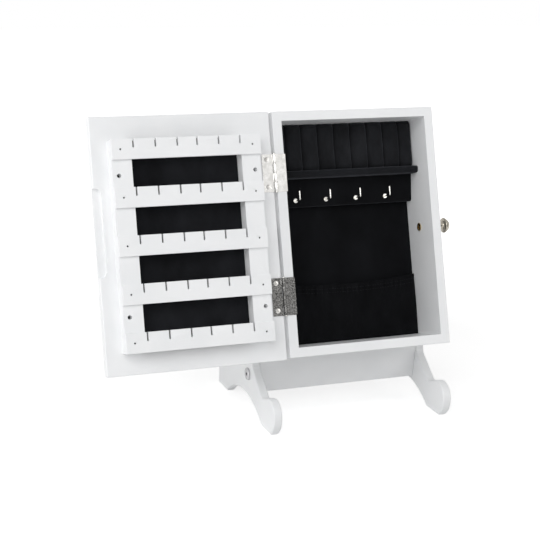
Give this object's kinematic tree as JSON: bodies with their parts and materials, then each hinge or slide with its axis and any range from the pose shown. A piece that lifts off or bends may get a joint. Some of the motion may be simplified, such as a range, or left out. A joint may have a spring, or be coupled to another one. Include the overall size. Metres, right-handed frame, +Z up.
{
  "type": "jewelry mirror cabinet",
  "caption": "Tabletop jewelry cabinet that tilts between two legs, with a mirror door, earring rack, ring cushion, hooks and pocket.",
  "frame": {"origin": "on the table, in the middle of the left leg's rear sole", "axes": "+X to the right of someone facing the open cabinet, +Y to the back, +Z up"},
  "size_m": [0.4419, 0.2342, 0.3695],
  "materials": {
    "white_lacquer": "satin",
    "back_board": "matte",
    "black_velvet": "velvet",
    "bright_nickel": "polished",
    "zinc_steel": "satin",
    "black_steel": "satin",
    "brass": "satin",
    "mirror_glass": "polished",
    "beech": "matte",
    "nylon": "matte"
  },
  "bodies": {
    "stand": {"left_leg": "white_lacquer", "right_leg": "white_lacquer", "stretcher": "white_lacquer", "stretcher_bolts": "zinc_steel", "cross_nuts": "zinc_steel", "stretcher_dowels": "beech", "pivot_spacers": "nylon"},
    "cabinet": {"left_side": "white_lacquer", "right_side": "white_lacquer", "top_panel": "white_lacquer", "bottom_panel": "white_lacquer", "back_panel": "back_board", "back_lining": "black_velvet", "ring_cushion": "black_velvet", "ring_shelf": "black_velvet", "hook_board": "black_velvet", "jewelry_hooks": "bright_nickel", "pocket": "black_velvet", "threaded_inserts": "brass", "upper_hinge_case_leaf": "bright_nickel", "lower_hinge_case_leaf": "bright_nickel", "upper_hinge_pin": "bright_nickel", "lower_hinge_pin": "bright_nickel", "case_hinge_screws": "bright_nickel"},
    "door": {"door_panel": "white_lacquer", "mirror": "mirror_glass", "door_lining": "black_velvet", "left_stile": "white_lacquer", "right_stile": "white_lacquer", "earring_rail_1": "white_lacquer", "earring_rail_2": "white_lacquer", "earring_rail_3": "white_lacquer", "earring_rail_4": "white_lacquer", "earring_rail_5": "white_lacquer", "rail_brads": "black_steel", "rack_screws": "black_steel", "upper_hinge_door_leaf": "bright_nickel", "lower_hinge_door_leaf": "bright_nickel", "door_hinge_screws": "bright_nickel"},
    "left_knob": {"left_pivot_knob": "bright_nickel"},
    "right_knob": {"right_pivot_knob": "bright_nickel"}
  },
  "joints": [
    {"name": "cabinet_tilt", "type": "hinge", "parent": "stand", "child": "cabinet", "pos_m": [0.109, -0.13, 0.2255], "axis": [1, 0, 0], "range_deg": [-45, 28]},
    {"name": "door_swing", "type": "hinge", "parent": "cabinet", "child": "door", "pos_m": [0.006, -0.16509, 0.23556], "axis": [0, 0.2756, 0.9613], "range_deg": [-15, 180]},
    {"name": "left_knob_turn", "type": "hinge", "parent": "cabinet", "child": "left_knob", "pos_m": [0.109, -0.13, 0.2255], "axis": [-1, 0, 0], "range_deg": [0, 720]},
    {"name": "right_knob_turn", "type": "hinge", "parent": "cabinet", "child": "right_knob", "pos_m": [0.109, -0.13, 0.2255], "axis": [1, 0, 0], "range_deg": [0, 720]}
  ]
}
